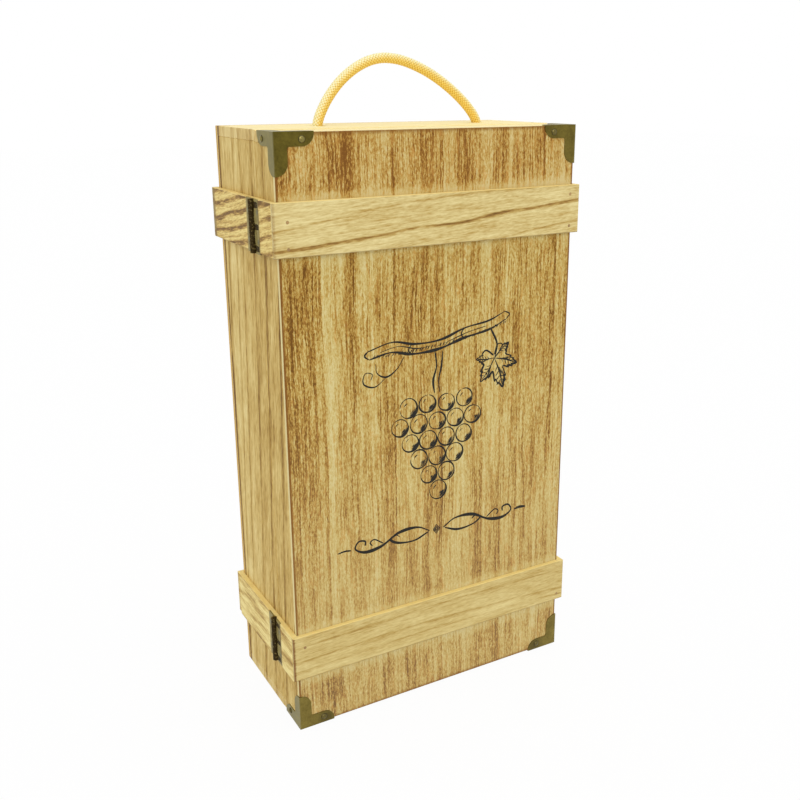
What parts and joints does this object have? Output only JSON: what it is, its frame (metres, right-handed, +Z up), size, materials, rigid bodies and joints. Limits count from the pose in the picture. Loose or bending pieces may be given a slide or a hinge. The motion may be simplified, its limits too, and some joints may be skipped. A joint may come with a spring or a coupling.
{
  "type": "wooden wine box",
  "caption": "Tall thin-wood box that stores and carries wine bottles upright, with a side-hinged shallow lid, belts of battens, metal corners, a side hasp and a rope handle",
  "frame": {"origin": "middle of the wooden box's footprint, on the surface it stands on", "axes": "+Z up the height, -Y out of the front (the lid), +X to the right seen from the front"},
  "size_m": [0.2058, 0.099, 0.4014],
  "materials": {
    "torched_panel": "torched and brushed softwood, vertical grain",
    "side_board": "raw pale paulownia, lightly browned",
    "inner_wood": "raw pale paulownia",
    "batten_wood": "raw wood with brown grain bands",
    "bronze": "antique bronze plated sheet steel",
    "pin_metal": "dark antique wire",
    "steel": "dulled steel",
    "rope": "braided synthetic rope, satin"
  },
  "bodies": {
    "box": {"back_panel": "torched_panel", "box_left_side": "side_board", "box_right_side": "side_board", "box_top_board": "side_board", "box_bottom_board": "side_board", "divider": "inner_wood", "neck_rest_left": "inner_wood", "neck_rest_right": "inner_wood", "upper_left_batten_rear": "batten_wood", "upper_right_batten_rear": "batten_wood", "lower_left_batten_rear": "batten_wood", "lower_right_batten_rear": "batten_wood", "upper_back_batten": "batten_wood", "lower_back_batten": "batten_wood", "upper_hinge_box_leaf": "bronze", "lower_hinge_box_leaf": "bronze", "upper_hinge_pin": "pin_metal", "lower_hinge_pin": "pin_metal", "catch_plate": "bronze", "box_brads": "steel", "box_screws": "steel", "rope_handle": "rope", "rope_knot_left": "rope", "rope_knot_right": "rope"},
    "lid": {"front_panel": "torched_panel", "lid_left_side": "side_board", "lid_right_side": "side_board", "lid_top_board": "side_board", "lid_bottom_board": "side_board", "upper_front_batten": "batten_wood", "lower_front_batten": "batten_wood", "upper_left_batten_front": "batten_wood", "upper_right_batten_front": "batten_wood", "lower_left_batten_front": "batten_wood", "lower_right_batten_front": "batten_wood", "corner_top_left": "bronze", "corner_top_right": "bronze", "corner_bottom_left": "bronze", "corner_bottom_right": "bronze", "corner_nails": "bronze", "upper_hinge_lid_leaf": "bronze", "lower_hinge_lid_leaf": "bronze", "hasp_plate": "bronze", "hasp_pin": "pin_metal", "lid_brads": "steel", "lid_screws": "steel"},
    "hasp": {"hasp": "bronze"}
  },
  "joints": [
    {"name": "lid_hinge", "type": "hinge", "parent": "box", "child": "lid", "pos_m": [-0.1014, -0.0191, 0.18], "axis": [0, 0, -1], "range_deg": [0, 180]},
    {"name": "hasp_swing", "type": "hinge", "parent": "lid", "child": "hasp", "pos_m": [0.0991, -0.0226, 0.18], "axis": [0, 0, -1], "range_deg": [0, 170]}
  ]
}
